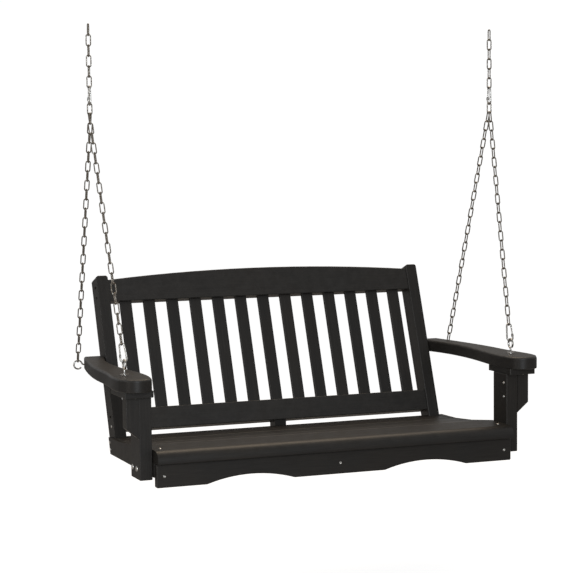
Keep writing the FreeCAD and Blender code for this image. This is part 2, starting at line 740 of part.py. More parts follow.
# ---- eye bolts and screw eyes ----------------------------------------------
eye_x = post_outer + EYE_OUT
eye_centre = Vector(eye_x, EYE_Y, arm_top + EYE_LIFT + EYE_RADIUS + EYE_WIRE / 2)
bolt_end = POST_HEIGHT - WASHER_THICK - NUT_THICK - 4.0


def crossways(shape, centre):
    """Turn an XZ-plane shape a quarter turn about Z and move it into place."""
    turned = shape.copy()
    turned.rotate(Vector(0, 0, 0), ALONG_Z, 90)
    turned.translate(centre)
    return turned


eye_ring = bend(Vector(0, 0, 0), EYE_RADIUS, EYE_WIRE / 2, 0, 360)
eye_shank = rod(eye_centre - ALONG_Z * EYE_RADIUS, Vector(eye_x, EYE_Y, bolt_end), EYE_WIRE / 2)
eye_bolt = joined([crossways(eye_ring, eye_centre), eye_shank])


def washer(face_point, direction, bore_radius):
    """A flat washer standing on face_point, away along direction."""
    disc = rod(face_point, face_point + direction * WASHER_THICK, WASHER_RADIUS)
    hole = rod(face_point - direction, face_point + direction * (WASHER_THICK + 1), bore_radius)
    return disc.cut(hole)


top_washer = washer(Vector(eye_x, EYE_Y, arm_top), ALONG_Z, EYE_WIRE / 2)
foot_washer = washer(Vector(eye_x, EYE_Y, POST_HEIGHT), -ALONG_Z, EYE_WIRE / 2)
eye_nut = hex_nut(Vector(eye_x, EYE_Y, POST_HEIGHT - WASHER_THICK), -ALONG_Z, EYE_WIRE / 2)

screw_eye_z = arm_middle - SCREW_EYE_DROP
probe = rod(Vector(0, screw_eye_y, screw_eye_z), Vector(2 * hang_x, screw_eye_y, screw_eye_z), 0.5)
arm_side = arm.common(probe).BoundBox.XMax
ring_reach = SCREW_EYE_STANDOFF + SCREW_EYE_WIRE / 2 + SCREW_EYE_RADIUS
screw_eye_centre = Vector(arm_side + ring_reach, screw_eye_y, screw_eye_z)
screw_eye_ring = bend(screw_eye_centre, SCREW_EYE_RADIUS, SCREW_EYE_WIRE / 2,
                      180 + SCREW_EYE_OPENING, 540)
screw_eye_shank = rod(screw_eye_centre - ALONG_X * SCREW_EYE_RADIUS,
                      Vector(arm_side - SCREW_EYE_DEPTH, screw_eye_y, screw_eye_z),
                      SCREW_EYE_WIRE / 2)
screw_eye = joined([screw_eye_ring, screw_eye_shank])

# ---- fasteners -------------------------------------------------------------
bolt_ys = (POST_DEPTH * 0.33, POST_DEPTH * 0.8)
bolt_z = (RAIL_BOTTOM + front_board_foot) / 2 + 1.5
cleat_inner = back_outer - THIN
bolt_length = post_outer - cleat_inner + NUT_THICK + 3.0
post_bolts = []
post_nuts = []
for y in bolt_ys:
    post_bolts.append(headed_pin(Vector(post_outer, y, bolt_z), -ALONG_X, BOLT_HEAD,
                                 BOLT_HEAD_HEIGHT, BOLT_SHANK, bolt_length))
    post_nuts.append(hex_nut(Vector(cleat_inner, y, bolt_z), -ALONG_X, BOLT_SHANK))

apron_screw_z = RAIL_BOTTOM + 5.0
cleat_middle = back_outer - THIN / 2
support_xs = (-cleat_middle, 0, cleat_middle)
apron_screws = []
for x in support_xs:
    apron_screws.append(screw(Vector(x, -APRON_FRONT, apron_screw_z), ALONG_Y, SCREW_LONG))


def screw_from_below(x, y, tip_height):
    """A screw driven up through a cleat or the centre support."""
    return screw(Vector(x, y, RAIL_BOTTOM), ALONG_Z, tip_height - RAIL_BOTTOM)


seat_screws = []
middle_of_bolts = sum(bolt_ys) / 2
for x in support_xs:
    seat_screws.append(screw_from_below(x, middle_of_bolts, front_board_foot + THICK / 2))
    for start, end in zip(stretch_starts, stretch_ends):
        for share in (0.2, 0.55):
            y = start[0] + (end[0] - start[0]) * share
            tip_height = under_line(start, end, y) + SEAT_BOARD * 0.6
            seat_screws.append(screw_from_below(x, y, tip_height))
for x in (-cleat_middle, cleat_middle):
    head = Vector(x, FRONT_SCREW_Y, FRONT_BOARD_TOP)
    seat_screws.append(screw(head, -ALONG_Z, THICK + 10.0))

corbel_screw_y = CORBEL_DEPTH / 2
side_screws = []
for z in (POST_HEIGHT - 28.0, POST_HEIGHT - 71.0):
    head = Vector(post_inner, corbel_screw_y, z)
    side_screws.append(screw(head, ALONG_X, SCREW_LONG))
for slope in (TOP_RAIL_FOOT + 17.0, TOP_RAIL_FOOT + 50.0,
              BOTTOM_RAIL_FOOT + 17.0, BOTTOM_RAIL_FOOT + 48.0):
    head = back_point(back_outer, RAIL_INSET + THICK / 2, slope)
    side_screws.append(screw(head, -ALONG_X, THICK + 35.0))
for share in (0.3, 0.72):
    height = RAIL_BOTTOM + (BREAK_Z[-1] - RAIL_BOTTOM) * share
    lap_middle = (BACK_FOOT + side_rail_foot_y - RAIL_BOTTOM * math.tan(rake)) / 2
    y = lap_middle + height * math.tan(rake)
    side_screws.append(screw(Vector(post_inner, y, height), -ALONG_X, SCREW_SHORT))
for x, y in ((post_outer + 12.0, -PLATE_FRONT / 2), (post_inner + 19.0, POST_DEPTH + 13.0)):
    side_screws.append(screw(Vector(x, y, POST_HEIGHT), ALONG_Z, SCREW_SHORT))
centre_screw_y = (centre_step_y + rail_under_end) / 2
centre_screw = screw(Vector(0, centre_screw_y, RAIL_BOTTOM), ALONG_Z,
                     rail_underside(centre_screw_y) - RAIL_BOTTOM + 15.0)
frame_screws = both_sides(side_screws) + [centre_screw]
post_bolts = both_sides(post_bolts)
post_nuts = both_sides(post_nuts)


def drilled(shape, fasteners):
    """Cut from a part every fastener that enters it."""
    touching = [item for item in fasteners if item.BoundBox.intersect(shape.BoundBox)]
    return shape.cut(touching) if touching else shape


# ---- the bench's own parts, by name ----------------------------------------
lumber = {
    "front_post_right": front_post,
    "front_post_left": mirrored(front_post),
    "corbel_right": corbel,
    "corbel_left": mirrored(corbel),
    "arm_plate_right": arm_plate,
    "arm_plate_left": mirrored(arm_plate),
    "arm_right": arm,
    "arm_left": mirrored(arm),
    "back_post_right": back_post,
    "back_post_left": mirrored(back_post),
    "side_rail_right": side_rail,
    "side_rail_left": mirrored(side_rail),
    "seat_cleat_right": seat_cleat,
    "seat_cleat_left": mirrored(seat_cleat),
    "centre_support": centre_support,
    "top_rail": top_rail,
    "bottom_rail": bottom_rail,
    "apron": apron,
    "seat_board_front": front_board,
    "seat_board_mid_front": rear_boards[0],
    "seat_board_mid_rear": rear_boards[1],
    "seat_board_rear": rear_boards[2],
}
for index, slat in enumerate(back_slats):
    lumber["back_slat_%02d" % (index + 1)] = slat

entering = both_sides([eye_bolt, screw_eye]) + post_bolts + apron_screws
entering += seat_screws + frame_screws
for name in lumber:
    lumber[name] = drilled(lumber[name], entering)

bench_steel = {
    "eye_bolts": both_sides([eye_bolt]),
    "eye_bolt_washers": both_sides([top_washer, foot_washer]),
    "eye_bolt_nuts": both_sides([eye_nut]),
    "screw_eyes": both_sides([screw_eye]),
    "post_bolts": post_bolts,
    "post_nuts": post_nuts,
    "apron_screws": apron_screws,
    "seat_screws": seat_screws,
    "frame_screws": frame_screws,
}

# ---- balance: the chains of a side meet straight above the centre of mass ---
weight = 0.0
moment = 0.0
for shape in lumber.values():
    weight += shape.Volume * LUMBER_DENSITY
    moment += shape.Volume * shape.CenterOfGravity.y * LUMBER_DENSITY
for shapes in bench_steel.values():
    for shape in shapes:
        weight += shape.Volume * STEEL_DENSITY
        moment += shape.Volume * shape.CenterOfGravity.y * STEEL_DENSITY
link_weight = LINK.Volume * STEEL_DENSITY
snap_weight = (SNAP.Volume + GATE.Volume) * STEEL_DENSITY
chain_rise = JUNCTION_HEIGHT - arm_top
front_run = 2 * link_weight * (chain_rise - SNAP_LENGTH) / CHAIN_PITCH
rear_run = 2 * link_weight * (chain_rise + THICK) / CHAIN_PITCH
weight += 2 * snap_weight
moment += 2 * snap_weight * EYE_Y
hang_y = ((moment + front_run * EYE_Y / 2 + rear_run * screw_eye_y / 2)
          / (weight + front_run / 2 + rear_run / 2))
print("bench", round(weight, 2), "kg, hanging line at Y", round(hang_y, 2))

# ---- chains of the right side ----------------------------------------------
half_wire = CHAIN_WIRE / 2
link_reach = CHAIN_PITCH + CHAIN_WIRE       # between the middles of its two ends
bend_radius = (chain_inner + CHAIN_WIRE) / 2

# Two links lie side by side in the round foot of the junction link, so each
# sits a little above its lowest point.
side_by_side = chain_inner / 2 - half_wire - CONTACT
run_rise = bend_radius - math.sqrt(side_by_side ** 2 - run_offset ** 2) - CHAIN_WIRE - CONTACT
run_rise += RUN_SLACK
front_goal = Vector(hang_x + run_offset, hang_y, JUNCTION_HEIGHT + run_rise)
rear_goal = Vector(hang_x - run_offset, hang_y, JUNCTION_HEIGHT + run_rise)


def pulled_point(ring_centre, ring_radius, ring_normal, goal):
    """Where a ring's wire is pulled by a chain that runs to goal."""
    towards = goal - ring_centre
    in_plane = towards - ring_normal * towards.dot(ring_normal)
    return ring_centre + in_plane.normalize() * ring_radius


eye_pull = pulled_point(eye_centre, EYE_RADIUS, ALONG_X, front_goal)
screw_eye_pull = pulled_point(screw_eye_centre, SCREW_EYE_RADIUS, ALONG_Y, rear_goal)
front_along = (front_goal - eye_pull).normalize()
arm_snap_foot = eye_pull - front_along * ((EYE_WIRE + SNAP_WIRE) / 2 + CONTACT)
arm_snap = aligned(SNAP, arm_snap_foot, front_along, False)
arm_gate = aligned(GATE, arm_snap_foot, front_along, False)
arm_snap_head = arm_snap_foot + front_along * snap_reach
front_chain = chain_run(arm_snap_head, SNAP_WIRE / 2 + CONTACT,
                        front_goal, half_wire + CONTACT)
rear_chain = chain_run(screw_eye_pull, SCREW_EYE_WIRE / 2 + CONTACT,
                       rear_goal, half_wire + CONTACT)


def upright(shape, foot_height, quarter_turn):
    """Hang a shape on the plumb line through the junction."""
    return aligned(shape, Vector(hang_x, hang_y, foot_height), ALONG_Z, quarter_turn)


junction_link = upright(LINK, JUNCTION_HEIGHT + link_reach / 2, False)
junction_head = JUNCTION_HEIGHT + link_reach
top_snap_foot = junction_head - (CHAIN_WIRE + SNAP_WIRE) / 2 - CONTACT
top_snap = upright(SNAP, top_snap_foot, True)
top_gate = upright(GATE, top_snap_foot, True)
first_link_foot = top_snap_foot + snap_reach - (CHAIN_WIRE + SNAP_WIRE) / 2 - CONTACT
upper_step = CHAIN_PITCH - CONTACT
upper_links = []
for index in range(UPPER_LINKS):
    middle = first_link_foot + link_reach / 2 + index * upper_step
    upper_links.append(upright(LINK, middle, index % 2 == 1))
top_link = upper_links.pop()
swing_axis_z = first_link_foot + link_reach + (UPPER_LINKS - 2) * upper_step
hang_z = first_link_foot + link_reach + (UPPER_LINKS - 1) * upper_step - half_wire

chain_parts = {
    "front_chain": front_chain,
    "rear_chain": rear_chain,
    "upper_chain": upper_links + [junction_link],
    "arm_snap": [arm_snap],
    "arm_snap_gate": [arm_gate],
    "top_snap": [top_snap],
    "top_snap_gate": [top_gate],
    "top_link": [top_link],
}

# ---- write every part, moved so that the hanging points' middle is zero ----
origin = Vector(0, hang_y, hang_z)
parts = {name: [shape] for name, shape in lumber.items()}
parts.update(bench_steel)
for name, shapes in chain_parts.items():
    parts[name + "_right"] = shapes
    parts[name + "_left"] = [mirrored(shape) for shape in shapes]

os.makedirs("parts", exist_ok=True)
for name, shapes in parts.items():
    moved = []
    for shape in shapes:
        for solid in shape.Solids:
            placed = solid.copy()
            placed.translate(-origin)
            moved.append(placed)
    whole = moved[0] if len(moved) == 1 else Part.makeCompound(moved)
    if not whole.isValid():
        print("not valid:", name)
    whole.exportStep("parts/%s.step" % name)


def report(name, point):
    """Print a place in the part's own frame, in metres."""
    moved = (point - origin) * 0.001
    print(name, [round(value, 5) for value in moved])


print(len(parts), "parts")
report("hanging point right", Vector(hang_x, hang_y, hang_z))
report("swing axis", Vector(0, hang_y, swing_axis_z))
report("pitch axis", Vector(0, hang_y, JUNCTION_HEIGHT))
front_across = (ALONG_X - front_along * ALONG_X.dot(front_along)).normalize()
arm_gate_pivot = arm_snap_foot + front_along * gate_pivot.z + front_across * gate_pivot.x
report("arm gate pivot right", arm_gate_pivot)
print("arm gate opens about", [round(value, 5) for value in front_across.cross(front_along)])
report("top gate pivot right", Vector(hang_x, hang_y + gate_pivot.x, top_snap_foot + gate_pivot.z))
report("arm top right", Vector(back_outer + ARM_WAIST * 0.7, arm_rear * 0.4, arm_top))
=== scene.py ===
# %% [markdown]
# # A porch swing, finished in Blender
#
# The swing is already a set of exact solids: boards, chains, bolts. This
# lesson gives them the look of the real thing. Most boards keep their own
# shape and get a good material. The small steel pieces, such as the chain,
# the screws and the eye bolts, are made again with more detail, because a
# plain CAD ring has no weld, no thread and no driver recess.
#
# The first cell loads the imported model. Every piece stays in its frame:
# metres, X across the bench, Y to the back, Z up, with the origin midway
# between the two ceiling hooks.

# %% Load the frame
import bmesh
import bpy
import json
import math
import numpy as np
from mathutils import Matrix, Vector


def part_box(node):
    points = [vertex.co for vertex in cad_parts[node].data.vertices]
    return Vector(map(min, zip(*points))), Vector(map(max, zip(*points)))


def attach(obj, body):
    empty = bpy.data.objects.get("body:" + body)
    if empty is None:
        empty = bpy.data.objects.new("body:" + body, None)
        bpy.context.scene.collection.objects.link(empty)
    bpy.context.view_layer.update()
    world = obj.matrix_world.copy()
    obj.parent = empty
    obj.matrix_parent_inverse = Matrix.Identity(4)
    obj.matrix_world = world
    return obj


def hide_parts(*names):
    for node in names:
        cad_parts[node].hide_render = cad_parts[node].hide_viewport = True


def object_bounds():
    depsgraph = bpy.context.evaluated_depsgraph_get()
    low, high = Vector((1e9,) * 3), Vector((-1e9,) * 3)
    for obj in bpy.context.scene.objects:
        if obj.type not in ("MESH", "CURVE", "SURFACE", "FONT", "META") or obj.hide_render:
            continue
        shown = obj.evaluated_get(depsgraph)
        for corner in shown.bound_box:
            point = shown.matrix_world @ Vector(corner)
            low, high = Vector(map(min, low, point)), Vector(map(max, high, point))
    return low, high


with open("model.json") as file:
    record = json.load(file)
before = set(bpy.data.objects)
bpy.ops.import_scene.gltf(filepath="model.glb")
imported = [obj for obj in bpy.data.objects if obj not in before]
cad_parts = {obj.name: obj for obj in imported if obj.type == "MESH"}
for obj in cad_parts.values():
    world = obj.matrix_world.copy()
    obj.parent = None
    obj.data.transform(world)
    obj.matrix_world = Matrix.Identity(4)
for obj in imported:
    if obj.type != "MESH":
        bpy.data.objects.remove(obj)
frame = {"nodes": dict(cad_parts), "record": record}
cad_low, cad_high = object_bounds()
nodes = frame["nodes"]
body_of = {node: body for body, members in frame["record"]["behaviour"]["bodies"].items()
           for node in members}
slot_of = {part["node"]: part["material_slot"] for part in frame["record"]["subparts"]}
scene = bpy.context.scene

# %% [markdown]
# ## The camera
#
# A wide bench looks best from far off through a long lens, so that its two ends
# keep their size. The camera stands to the left of the bench, a little above
# the seat, and is rolled by half a degree. Its place is given as a distance and
# two angles from a point on the bench, because those are easy to picture and
# to change one at a time.

# %% Set up the camera
CAMERA_AZIMUTH = math.radians(22.23)
CAMERA_HEIGHT_ANGLE = math.radians(5.46)
CAMERA_ROLL = math.radians(-0.504)
CAMERA_DISTANCE = 5.588
LENS = 118.84
SHIFT = (-0.0623, 0.0556)

front_post_low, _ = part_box("front_post_right")
aim = Vector((-0.0419, front_post_low.y, front_post_low.z + 0.4432))

forward = Vector((math.sin(CAMERA_AZIMUTH) * math.cos(CAMERA_HEIGHT_ANGLE),
                  math.cos(CAMERA_AZIMUTH) * math.cos(CAMERA_HEIGHT_ANGLE),
                  -math.sin(CAMERA_HEIGHT_ANGLE)))
level_right = Vector((math.cos(CAMERA_AZIMUTH), -math.sin(CAMERA_AZIMUTH), 0))
level_up = level_right.cross(forward)
right = level_right * math.cos(CAMERA_ROLL) + level_up * math.sin(CAMERA_ROLL)
up = level_up * math.cos(CAMERA_ROLL) - level_right * math.sin(CAMERA_ROLL)

lens = bpy.data.cameras.new("camera")
lens.sensor_width = 36
lens.lens = LENS
lens.shift_x, lens.shift_y = SHIFT
camera = bpy.data.objects.new("camera", lens)
scene.collection.objects.link(camera)
place = Matrix((right, up, -forward)).transposed().to_4x4()
place.translation = aim - forward * CAMERA_DISTANCE
camera.matrix_world = place
scene.camera = camera
print("camera at", [round(v, 3) for v in place.translation])

# %% [markdown]
# ## The studio
#
# Dark plastic shows its shape only through what it reflects. In an evenly
# bright white room every face would reflect the same white and look flat grey,
# so the light that falls on the bench from all round is kept to a third of the
# white that the backdrop shows. Three soft lamps do the rest. A cool one in
# front, a little to the left, lights the fronts of the boards. A weak one far
# to the left lights the edges and sides that face it, and a large warm one
# high above gives the seat and the arm tops their brown.
#
# The floor is pale to the eye, but throws back less light than it seems to, so
# that the sides of the posts, which are seen at a glancing angle, stay dark.
# A Light Path node tells rays from the camera apart from the rest, and only
# the sky and the floor use one. No material on the swing does.
#
# The colours are shown through the plain "Standard" curve, because the filmic
# one lifts blacks and greys the white backdrop.

# %% Lamps, sky and backdrop
scene.view_settings.view_transform = "Standard"

sky = bpy.data.worlds.new("studio")
sky.use_nodes = True
SKY_LIGHT = 0.34
BACKDROP_WHITE = 1.02
sky_graph = sky.node_tree
sky_paint = sky_graph.nodes["Background"]
sky_paint.inputs["Color"].default_value = (1, 1, 1, 1)
ray_kind = sky_graph.nodes.new("ShaderNodeLightPath")
sky_strength = sky_graph.nodes.new("ShaderNodeMath")
sky_strength.operation = "MULTIPLY_ADD"
sky_strength.inputs[1].default_value = BACKDROP_WHITE - SKY_LIGHT
sky_strength.inputs[2].default_value = SKY_LIGHT
sky_graph.links.new(ray_kind.outputs["Is Camera Ray"], sky_strength.inputs[0])
sky_graph.links.new(sky_strength.outputs["Value"], sky_paint.inputs["Strength"])
scene.world = sky


def soft_lamp(name, stands_at, looks_at, size, power, tint):
    """A rectangular lamp turned so that its face looks at a point."""
    data = bpy.data.lights.new(name, "AREA")
    data.shape = "RECTANGLE"
    data.size, data.size_y = size
    data.energy = power
    data.color = tint
    lamp = bpy.data.objects.new(name, data)
    scene.collection.objects.link(lamp)
    lamp.location = stands_at
    lamp.rotation_euler = (Vector(looks_at) - Vector(stands_at)).to_track_quat("-Z", "Y").to_euler()
    return lamp


EDGE_WATTS = 9
SHEEN_WATTS = 62
HIGH_WATTS = 46
WARM_WHITE = (1.0, 0.93, 0.86)
COOL_WHITE = (0.86, 0.93, 1.0)
LATE_SUN = (1.0, 0.80, 0.58)

seat_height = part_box("seat_board_front")[1].z
soft_lamp("edge lamp", (-3.4, -0.9, seat_height + 0.7), (0, 0, seat_height + 0.1),
          (0.6, 2.2), EDGE_WATTS, WARM_WHITE)
soft_lamp("sheen lamp", (-1.4, -4.5, seat_height + 1.1), (0, 0, seat_height + 0.2),
          (0.5, 1.8), SHEEN_WATTS, COOL_WHITE)
soft_lamp("high lamp", (0.5, 1.4, seat_height + 3.0), (0, 0, seat_height),
          (3.0, 1.4), HIGH_WATTS, LATE_SUN)

FLOOR_DROP = 0.36
FLOOR_HALF = 14.0
FLOOR_GREY = (0.42, 0.41, 0.40, 1)
FLOOR_GLOW = 0.86
floor_z = cad_low.z - FLOOR_DROP
floor_mesh = bpy.data.meshes.new("floor")
floor_mesh.from_pydata([(-FLOOR_HALF, -FLOOR_HALF, floor_z), (FLOOR_HALF, -FLOOR_HALF, floor_z),
                        (FLOOR_HALF, FLOOR_HALF, floor_z), (-FLOOR_HALF, FLOOR_HALF, floor_z)],
                       [], [(0, 1, 2, 3)])
floor = bpy.data.objects.new("floor", floor_mesh)
scene.collection.objects.link(floor)
pale = bpy.data.materials.new("pale floor")
pale.use_nodes = True
floor_graph = pale.node_tree
floor_paint = floor_graph.nodes["Principled BSDF"]
floor_paint.inputs["Base Color"].default_value = FLOOR_GREY
floor_paint.inputs["Roughness"].default_value = 0.9
floor_paint.inputs["Emission Color"].default_value = (1, 1, 1, 1)
floor_rays = floor_graph.nodes.new("ShaderNodeLightPath")
floor_white = floor_graph.nodes.new("ShaderNodeMath")
floor_white.operation = "MULTIPLY"
floor_white.inputs[1].default_value = FLOOR_GLOW
floor_graph.links.new(floor_rays.outputs["Is Camera Ray"], floor_white.inputs[0])
floor_graph.links.new(floor_white.outputs["Value"], floor_paint.inputs["Emission Strength"])
floor_mesh.materials.append(pale)
print("floor at", round(floor_z, 3), "m,", len(bpy.data.lights), "lamps")

# %% [markdown]
# ## Building a material, one node at a time
#
# A material is a small graph. Three helpers keep it readable: one adds a node
# and fills in its inputs, one adds a colour ramp, and one starts a new
# material. An input may be given a plain value or another node's output.

# %% Node helpers
def add_node(graph, kind, settings=None, **inputs):
    """Add a node, set its own settings, and fill its inputs.

    An input is given by name, with an underscore for each space, or as n and
    its number, such as n0, where several inputs share one name.
    """
    node = graph.nodes.new(kind)
    for key, value in (settings or {}).items():
        setattr(node, key, value)
    for key, value in inputs.items():
        by_number = key[0] == "n" and key[1:].isdigit()
        socket = node.inputs[int(key[1:]) if by_number else key.replace("_", " ")]
        if isinstance(value, bpy.types.NodeSocket):
            graph.links.new(value, socket)
        else:
            socket.default_value = value
    return node


def add_ramp(graph, source, stops):
    """A colour ramp from a list of (place, grey or colour) stops."""
    node = graph.nodes.new("ShaderNodeValToRGB")
    while len(node.color_ramp.elements) < len(stops):
        node.color_ramp.elements.new(0.5)
    for element, (where, colour) in zip(node.color_ramp.elements, stops):
        element.position = where
        element.color = (colour, colour, colour, 1) if isinstance(colour, float) else (*colour, 1)
    graph.links.new(source, node.inputs["Fac"])
    return node.outputs["Color"]


def blank_material(name):
    """A material with only its Principled shader left to fill in."""
    material = bpy.data.materials.new(name)
    material.use_nodes = True
    return material, material.node_tree, material.node_tree.nodes["Principled BSDF"]


# %% [markdown]
# ## Plastic lumber
#
# The boards are extruded from melted recycled plastic, near black and a little
# warm. The extruder's rollers press a brushed grain into the skin, which runs
# along the board, and the skin under it is finely pebbled. Rounded edges and
# corners are rubbed smoother by hands and by the shipping wrap. A painted
# highlight makes them paler, standing in for the light that rounded edges catch.
#
# Four things are layered:
#
# 1. a very stretched noise gives the brushed lines, long one way and thin the
#    other, as bump and as small changes in colour;
# 2. a fine even noise gives the pebble, as bump only;
# 3. a slow, wide noise changes the gloss, so that highlights break up;
# 4. rounded edges are where the surface faces none of the board's own three
#    directions squarely, so the largest of the three shares of the normal
#    finds them, and there the plastic is smoother and gets a painted
#    highlight: a paler colour along the edge.
#
# The grain must run along each board, whichever way the board lies, so a
# Mapping node turns the pattern. Its scale is small along the grain, which
# stretches the noise there.

# %% The lumber material
rail_step = sum(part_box("top_rail"), Vector()) - sum(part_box("bottom_rail"), Vector())
RAKE = math.atan2(rail_step.y, rail_step.z)
GRAIN_TURNS = {
    "across": (0.0, 0.0, 0.0),
    "to the back": (0.0, 0.0, math.radians(90)),
    "upright": (0.0, math.radians(90), 0.0),
    "up the back": (RAKE, 0.0, 0.0),
}


GRAIN_LONG = 11.0
GRAIN_FINE = 420.0
PEBBLE_SCALE = 950.0
CLOUD_SCALE = 5.5
SMUDGE_SCALE = 38.0
DARK_LUMBER = (0.0140, 0.0122, 0.0105)
LIGHT_LUMBER = (0.0260, 0.0230, 0.0200)
# the paler colour that rounded edges take is a painted highlight
EDGE_HIGHLIGHT_COLOUR = (0.060, 0.056, 0.052, 1)


def lumber_material(name, turn, shade, offset, grain_up=False, curved_plan=False, edge_highlight_share=1.0):
    """Near-black plastic lumber whose grain follows X of the turned pattern, or Z.

    turn is the pattern's turn about X, Y and Z, shade a factor on the colour
    and offset a shift in metres, so that no two boards have the same marks.
    A board with a curved plan is flat only on top and underneath.
    """
    material, graph, shader = blank_material(name)
    spot = add_node(graph, "ShaderNodeTexCoord").outputs["Object"]
    turned = add_node(graph, "ShaderNodeMapping", {"vector_type": "POINT"}, Vector=spot,
                      Location=offset, Rotation=turn).outputs["Vector"]
    stretch = ((GRAIN_FINE, GRAIN_FINE, GRAIN_LONG) if grain_up
               else (GRAIN_LONG, GRAIN_FINE, GRAIN_FINE))
    brushed = add_node(graph, "ShaderNodeMapping", {"vector_type": "POINT"}, Vector=turned,
                       Scale=stretch).outputs["Vector"]
    lines = add_node(graph, "ShaderNodeTexNoise", Vector=brushed, Scale=1.0, Detail=3.0,
                     Roughness=0.62).outputs["Fac"]
    pebble = add_node(graph, "ShaderNodeTexNoise", Vector=turned, Scale=PEBBLE_SCALE,
                      Detail=2.0, Roughness=0.55).outputs["Fac"]
    clouds = add_node(graph, "ShaderNodeTexNoise", Vector=turned, Scale=CLOUD_SCALE,
                      Detail=4.0, Roughness=0.6).outputs["Fac"]
    smudges = add_node(graph, "ShaderNodeTexNoise", Vector=turned, Scale=SMUDGE_SCALE,
                       Detail=5.0, Roughness=0.7).outputs["Fac"]

    facing = add_node(graph, "ShaderNodeTexCoord").outputs["Normal"]
    facing = add_node(graph, "ShaderNodeMapping", {"vector_type": "VECTOR"}, Vector=facing,
                      Rotation=turn).outputs["Vector"]
    facing = add_node(graph, "ShaderNodeVectorMath", {"operation": "ABSOLUTE"},
                      n0=facing).outputs["Vector"]
    shares = add_node(graph, "ShaderNodeSeparateXYZ", Vector=facing)
    if curved_plan:
        edge = add_ramp(graph, shares.outputs["Z"],
                        [(0.10, 0.0), (0.45, 1.0), (0.90, 1.0), (0.99, 0.0)])
    else:
        most = add_node(graph, "ShaderNodeMath", {"operation": "MAXIMUM"},
                        n0=shares.outputs["X"], n1=shares.outputs["Y"]).outputs["Value"]
        most = add_node(graph, "ShaderNodeMath", {"operation": "MAXIMUM"},
                        n0=most, n1=shares.outputs["Z"]).outputs["Value"]
        edge = add_ramp(graph, most, [(0.80, 1.0), (0.985, 0.0)])
    # a painted highlight on the rounded edges, broken into patches by the smudge noise; the same
    # mask also makes those edges smoother
    edge_highlight_and_rub = add_node(graph, "ShaderNodeMath", {"operation": "MULTIPLY"},
                      n0=edge, n1=add_ramp(graph, smudges, [(0.38, 0.25 * edge_highlight_share), (0.62, edge_highlight_share)])
                      ).outputs["Value"]

    dark = tuple(value * shade for value in DARK_LUMBER)
    light = tuple(value * shade for value in LIGHT_LUMBER)
    base = add_ramp(graph, lines, [(0.30, dark), (0.72, light)])
    tint = add_ramp(graph, clouds, [(0.30, (0.86, 0.88, 0.92)), (0.70, (1.12, 1.05, 0.97))])
    body = add_node(graph, "ShaderNodeMix", {"data_type": "RGBA", "blend_type": "MULTIPLY"},
                    n0=1.0, n6=base, n7=tint).outputs[2]
    # the board colour with the painted edge highlight mixed in
    highlighted_colour = add_node(graph, "ShaderNodeMix", {"data_type": "RGBA"},
                    n0=edge_highlight_and_rub, n6=body, n7=EDGE_HIGHLIGHT_COLOUR).outputs[2]
    graph.links.new(highlighted_colour, shader.inputs["Base Color"])

    gloss = add_node(graph, "ShaderNodeMath", {"operation": "MULTIPLY_ADD"},
                     n0=smudges, n1=0.22, n2=0.34).outputs["Value"]
    gloss = add_node(graph, "ShaderNodeMath", {"operation": "MULTIPLY_ADD"},
                     n0=edge_highlight_and_rub, n1=-0.12, n2=gloss).outputs["Value"]
    graph.links.new(gloss, shader.inputs["Roughness"])
    shader.inputs["Specular IOR Level"].default_value = 0.42

    low = add_node(graph, "ShaderNodeBump", Strength=0.35, Distance=0.00030, Height=lines)
    fine = add_node(graph, "ShaderNodeBump", Strength=0.30, Distance=0.00012, Height=pebble,
                    Normal=low.outputs["Normal"])
    graph.links.new(fine.outputs["Normal"], shader.inputs["Normal"])
    return material


def wear_material(node, material):
    """Give a CAD node one material."""
    mesh = nodes[node].data
    mesh.materials.clear()
    mesh.materials.append(material)


# the front seat board gets only a quarter of the painted edge highlight
FRONT_BOARD_HIGHLIGHT = 0.25
ways = {
    "across": ["apron", "top_rail", "bottom_rail", "seat_board_front", "seat_board_mid_front",
               "seat_board_mid_rear", "seat_board_rear"],
    "to the back": ["arm_right", "arm_left", "arm_plate_right", "arm_plate_left",
                    "side_rail_right", "side_rail_left", "seat_cleat_right", "seat_cleat_left",
                    "centre_support"],
    "upright": ["front_post_right", "front_post_left", "corbel_right", "corbel_left"],
    "up the back": ["back_post_right", "back_post_left"]
                   + ["back_slat_%02d" % (index + 1) for index in range(13)],
}
marks = np.random.default_rng(7)
for way, boards in ways.items():
    for board in boards:
        shade = float(marks.uniform(0.90, 1.10))
        offset = tuple(float(value) for value in marks.uniform(-3, 3, 3))
        finish = lumber_material(board + " lumber", GRAIN_TURNS[way], shade, offset,
                                 way == "up the back", board in ("arm_right", "arm_left"),
                                 FRONT_BOARD_HIGHLIGHT if board == "seat_board_front" else 1.0)
        wear_material(board, finish)
    print("grain", way + ":", len(boards), "boards")

# %% [markdown]
# ## Steel
#
# The chain and the eye bolts are steel with a thin zinc coat: a warm grey, a
# spangle of slightly different crystals, and brown in spots where air and rain
# have started on it. The clean metal is one shader with Metallic at one. The
# variety is in its roughness and in a mask that fades to a dull brown oxide,
# which is less of a metal.

